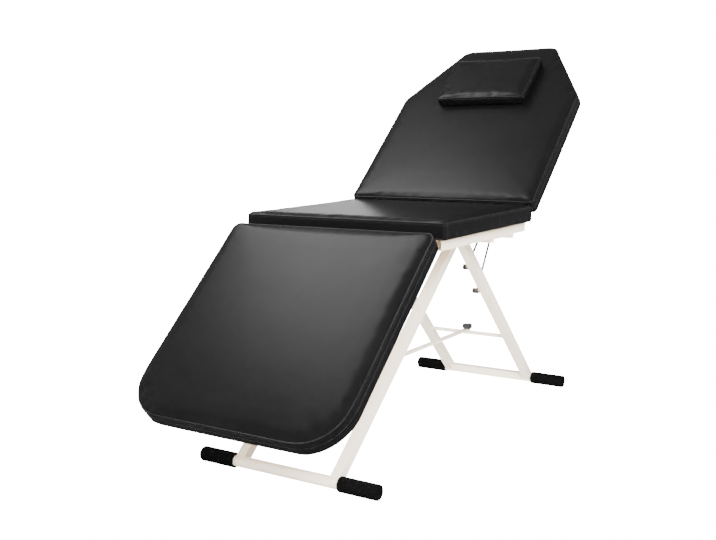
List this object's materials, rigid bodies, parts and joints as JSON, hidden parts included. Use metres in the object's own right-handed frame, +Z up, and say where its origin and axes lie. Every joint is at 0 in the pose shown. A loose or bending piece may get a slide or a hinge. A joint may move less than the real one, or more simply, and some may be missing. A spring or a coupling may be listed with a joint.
{
  "type": "folding massage table",
  "caption": "Folding massage table: sloping leg rest, level seat, raised back with head pillow, on an A-shaped tube stand with foot bars.",
  "frame": {"origin": "on the floor, below the centre of the object's bounding box", "axes": "+Z up, +Y from the foot end to the head end, +X to the right as seen from the foot end"},
  "size_m": [0.6, 1.5156, 1.066],
  "materials": {
    "black_leatherette": "satin",
    "cream_steel": "satin",
    "plywood": "matte",
    "black_foam_rubber": "matte",
    "zinc_steel": "satin",
    "dark_steel": "satin",
    "black_plastic": "matte"
  },
  "bodies": {
    "seat_frame": {"seat_pad": "black_leatherette", "seat_board": "plywood", "seat_left_rail": "cream_steel", "seat_right_rail": "cream_steel", "seat_cross_tubes": "cream_steel", "leg_carrier": "cream_steel", "leg_lugs": "cream_steel", "seat_hinge_ears": "cream_steel", "hinge_bolts": "zinc_steel", "hinge_nuts": "zinc_steel", "leg_pivot_bolts": "zinc_steel", "leg_pivot_nuts": "zinc_steel"},
    "leg_rest": {"leg_rest_pad": "black_leatherette", "leg_rest_board": "plywood", "leg_rest_left_rail": "cream_steel", "leg_rest_right_rail": "cream_steel", "leg_rest_cross_tubes": "cream_steel", "leg_rest_hinge_ears": "cream_steel"},
    "back_rest": {"back_pad": "black_leatherette", "back_board": "plywood", "back_left_rail": "cream_steel", "back_right_rail": "cream_steel", "back_cross_tubes": "cream_steel", "back_hinge_ears": "cream_steel", "prop_racks": "cream_steel"},
    "front_legs": {"front_left_leg": "cream_steel", "front_right_leg": "cream_steel", "front_crossbar": "cream_steel", "front_foot_bar": "cream_steel", "front_foot_sleeves": "black_foam_rubber"},
    "rear_legs": {"rear_left_leg": "cream_steel", "rear_right_leg": "cream_steel", "rear_crossbar": "cream_steel", "rear_foot_bar": "cream_steel", "rear_foot_sleeves": "black_foam_rubber", "prop_pins": "zinc_steel", "prop_pin_caps": "black_plastic"},
    "upper_prop": {"upper_prop_rods": "dark_steel", "upper_prop_bar": "dark_steel"},
    "lower_prop": {"lower_prop_rods": "dark_steel", "lower_prop_bar": "dark_steel"},
    "stay": {"stay": "cream_steel"},
    "knob": {"knob_stud": "zinc_steel", "knob_grip": "black_plastic"},
    "pillow": {"pillow": "black_leatherette"}
  },
  "joints": [
    {"name": "leg_rest_tilt", "type": "hinge", "parent": "seat_frame", "child": "leg_rest", "pos_m": [0, -0.28284, 0.54], "axis": [-1, 0, 0], "range_deg": [0, 42.5]},
    {"name": "back_tilt", "type": "hinge", "parent": "seat_frame", "child": "back_rest", "pos_m": [0, 0.23716, 0.54], "axis": [-1, 0, 0], "range_deg": [0, 42]},
    {"name": "front_leg_fold", "type": "hinge", "parent": "seat_frame", "child": "front_legs", "pos_m": [0, 0.05817, 0.515], "axis": [1, 0, 0], "range_deg": [0, 40]},
    {"name": "rear_leg_fold", "type": "hinge", "parent": "seat_frame", "child": "rear_legs", "pos_m": [0, 0.10317, 0.515], "axis": [-1, 0, 0], "range_deg": [0, 36]},
    {"name": "stay_swing", "type": "hinge", "parent": "front_legs", "child": "stay", "pos_m": [0, -0.32242, 0.1888], "axis": [-1, 0, 0], "range_deg": [0, 22]},
    {"name": "knob_turn", "type": "hinge", "parent": "stay", "child": "knob", "pos_m": [0, 0.42107, 0.1888], "axis": [0, 0, 1], "range_deg": [0, 1080]},
    {"name": "upper_prop_swing", "type": "hinge", "parent": "rear_legs", "child": "upper_prop", "pos_m": [0, 0.18783, 0.42578], "axis": [-1, 0, 0], "range_deg": [0, 88]},
    {"name": "lower_prop_swing", "type": "hinge", "parent": "rear_legs", "child": "lower_prop", "pos_m": [0, 0.26493, 0.34454], "axis": [-1, 0, 0], "range_deg": [0, 103]},
    {"name": "pillow_slide", "type": "slide", "parent": "back_rest", "child": "pillow", "axis": [0, -0.7431, -0.6691], "range_m": [0, 0.06]}
  ],
  "couplings": [
    {"joint": "rear_leg_fold", "follows": "front_leg_fold", "ratio": 0.88},
    {"joint": "stay_swing", "follows": "front_leg_fold", "ratio": 0.52},
    {"joint": "upper_prop_swing", "follows": "back_tilt", "ratio": 2.06},
    {"joint": "lower_prop_swing", "follows": "back_tilt", "ratio": 2.438}
  ]
}
